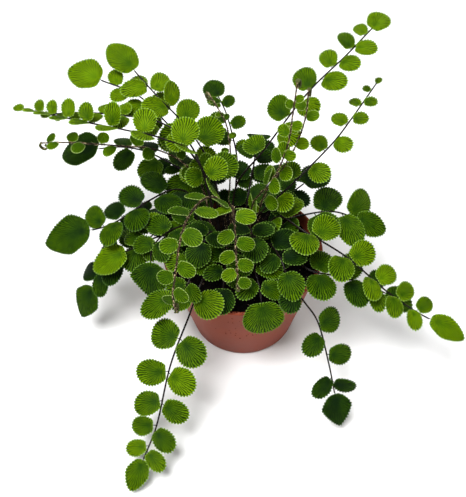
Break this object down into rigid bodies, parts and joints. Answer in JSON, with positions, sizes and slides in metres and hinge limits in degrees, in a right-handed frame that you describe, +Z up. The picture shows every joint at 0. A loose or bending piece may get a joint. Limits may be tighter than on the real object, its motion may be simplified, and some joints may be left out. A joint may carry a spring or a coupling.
{
  "type": "potted button fern",
  "caption": "Small button fern with arching fronds of round leathery leaflets, growing in a tapered terracotta-coloured plastic nursery pot filled with dark potting mix.",
  "frame": {"origin": "centre of the pot's flat underside, where it stands on a table", "axes": "+Z up along the pot's axis; -Y towards the side that the picture is taken from; +X to its right"},
  "size_m": [0.2859, 0.2526, 0.1875],
  "materials": {
    "pot_plastic": "smooth terracotta-coloured plastic with a soft sheen",
    "potting_mix": "rough, damp peat and bark",
    "dark_green": "leathery, slightly glossy older leaflets in the shade",
    "mid_green": "leathery, slightly glossy leaflets",
    "bright_green": "leathery, slightly glossy leaflets in full light",
    "young_green": "soft, matt young leaflets on scaly tan stalks"
  },
  "bodies": {
    "root": {"pot": "pot_plastic", "potting_mix": "potting_mix", "frond_front_left": "bright_green", "frond_front_right": "dark_green", "frond_right_long": "bright_green", "frond_right_low": "mid_green", "frond_right_short": "mid_green", "frond_back_right_long": "bright_green", "frond_back_right": "bright_green", "frond_back_left_high": "bright_green", "frond_back_left": "bright_green", "frond_left_long": "bright_green", "frond_left_upper": "bright_green", "frond_left_dark": "mid_green", "frond_left_low": "dark_green", "frond_left_middle": "bright_green", "frond_left_drooping": "dark_green", "frond_left_arrow": "mid_green", "frond_left_front": "mid_green", "frond_front": "mid_green", "frond_back_dark": "mid_green", "frond_back_right_dark": "dark_green", "frond_back_low": "dark_green", "frond_back_left_dark": "dark_green", "frond_left_inner": "dark_green", "frond_inner_left": "mid_green", "frond_inner_right": "mid_green", "frond_centre_left": "mid_green", "frond_centre": "mid_green", "frond_back_drooping": "dark_green", "young_frond_left": "young_green", "young_frond_right_upper": "young_green", "young_frond_right_lower": "young_green", "young_frond_back": "young_green", "young_frond_front_left": "young_green", "young_frond_front": "young_green"}
  },
  "joints": []
}
